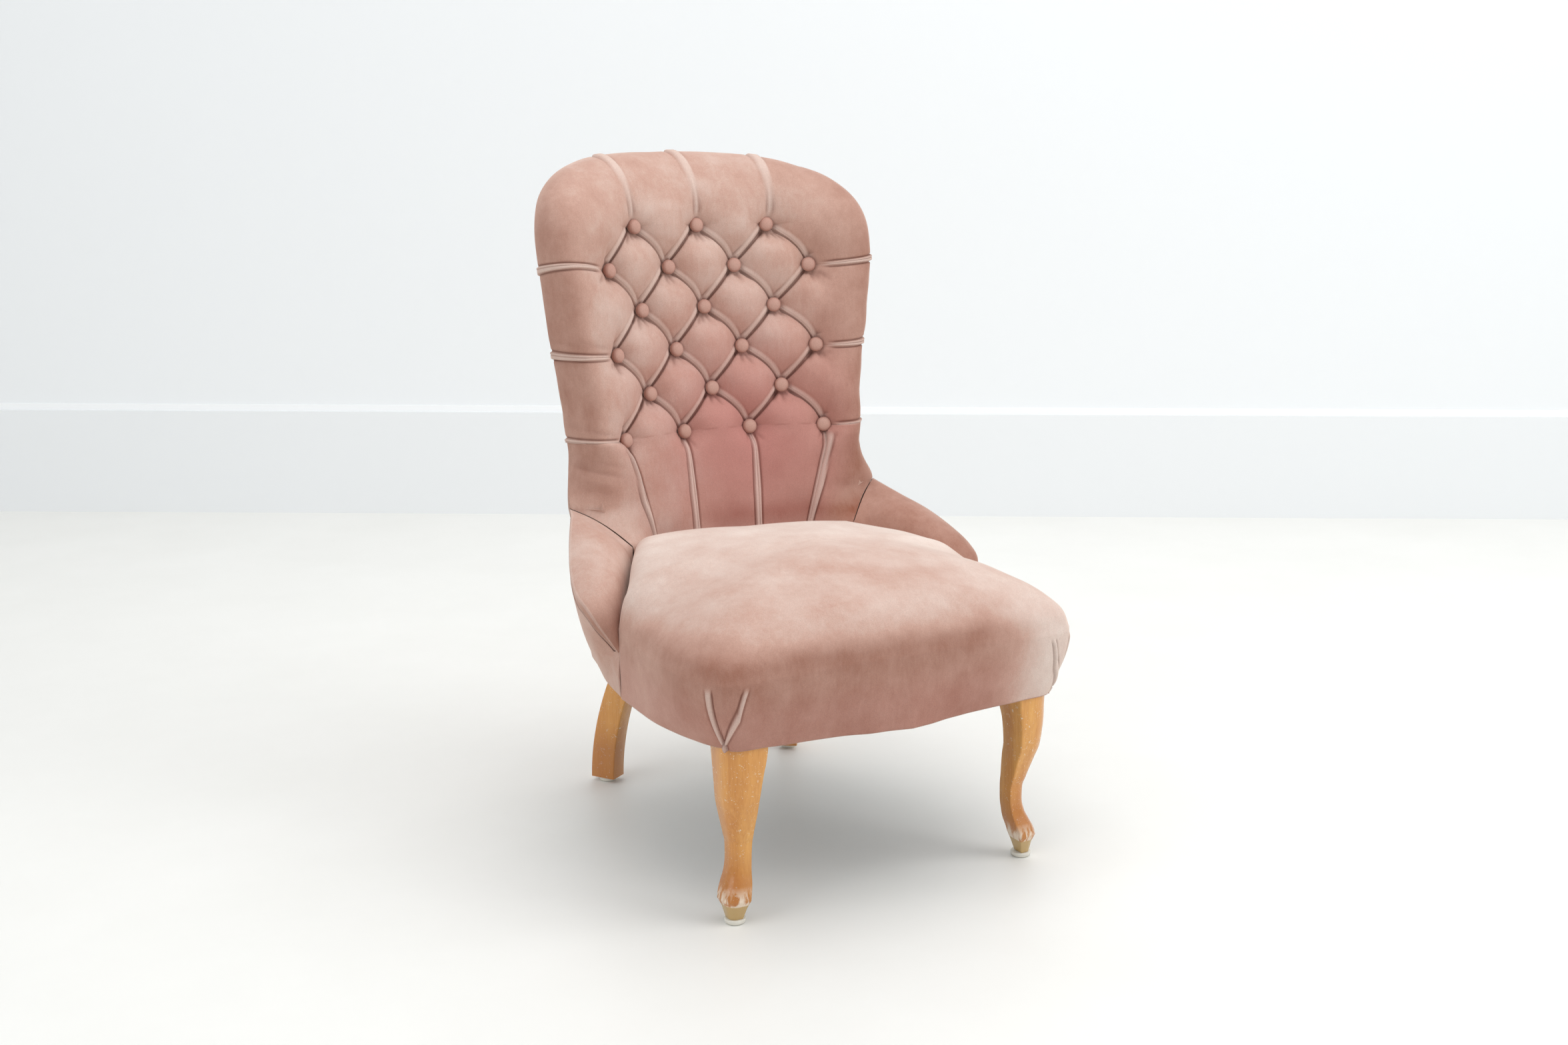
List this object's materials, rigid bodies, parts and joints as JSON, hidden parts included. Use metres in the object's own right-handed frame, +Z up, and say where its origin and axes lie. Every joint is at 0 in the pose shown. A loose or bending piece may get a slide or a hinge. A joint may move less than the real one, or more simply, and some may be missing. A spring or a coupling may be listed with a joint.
{
  "type": "button-back slipper chair",
  "caption": "Low upholstered chair with a curved deep-buttoned back, short swept arms, a domed sprung seat, cabriole front legs and sabre rear legs.",
  "frame": {"origin": "on the floor, under the middle of the chair's overall box", "axes": "+Z up, -Y towards the front of the seat, +X to the viewer's right when looking at the front"},
  "size_m": [0.58, 0.6374, 0.8613],
  "materials": {
    "velvet": "dusty pink crushed velvet",
    "button_velvet": "dusty pink velvet over a button form",
    "cotton_felt": "cotton felt and wadding",
    "jute": "woven jute",
    "raw_beech": "sawn, unfinished",
    "varnished_beech": "honey-coloured gloss varnish, worn",
    "spring_steel": "drawn wire",
    "black_cambric": "black non-woven lining",
    "white_nylon": "off-white, scuffed"
  },
  "bodies": {
    "root": {"inside_back_cover": "velvet", "back_padding": "cotton_felt", "button_1_1": "button_velvet", "button_1_2": "button_velvet", "button_1_3": "button_velvet", "button_2_1": "button_velvet", "button_2_2": "button_velvet", "button_2_3": "button_velvet", "button_2_4": "button_velvet", "button_3_1": "button_velvet", "button_3_2": "button_velvet", "button_3_3": "button_velvet", "button_4_1": "button_velvet", "button_4_2": "button_velvet", "button_4_3": "button_velvet", "button_4_4": "button_velvet", "button_5_1": "button_velvet", "button_5_2": "button_velvet", "button_5_3": "button_velvet", "button_6_1": "button_velvet", "button_6_2": "button_velvet", "button_6_3": "button_velvet", "button_6_4": "button_velvet", "seat_cover": "velvet", "seat_padding": "cotton_felt", "seat_hessian": "jute", "arm_cover_right": "velvet", "arm_cover_left": "velvet", "arm_padding_right": "cotton_felt", "arm_padding_left": "cotton_felt", "outside_cover": "velvet", "front_rail": "raw_beech", "side_rail_right": "raw_beech", "side_rail_left": "raw_beech", "rear_rail": "raw_beech", "front_corner_block_right": "raw_beech", "front_corner_block_left": "raw_beech", "back_post_right": "raw_beech", "back_post_left": "raw_beech", "top_rail": "raw_beech", "back_hessian": "jute", "arm_rail_right": "raw_beech", "arm_rail_left": "raw_beech", "long_strap": "jute", "cross_strap_front": "jute", "cross_strap_rear": "jute", "spring_middle": "spring_steel", "spring_front_left": "spring_steel", "spring_front_right": "spring_steel", "spring_rear_left": "spring_steel", "spring_rear_right": "spring_steel", "dust_cover": "black_cambric", "front_leg_right": "varnished_beech", "front_leg_left": "varnished_beech", "rear_leg_right": "varnished_beech", "rear_leg_left": "varnished_beech", "front_glide_right": "white_nylon", "front_glide_left": "white_nylon", "rear_glide_right": "white_nylon", "rear_glide_left": "white_nylon"}
  },
  "joints": []
}
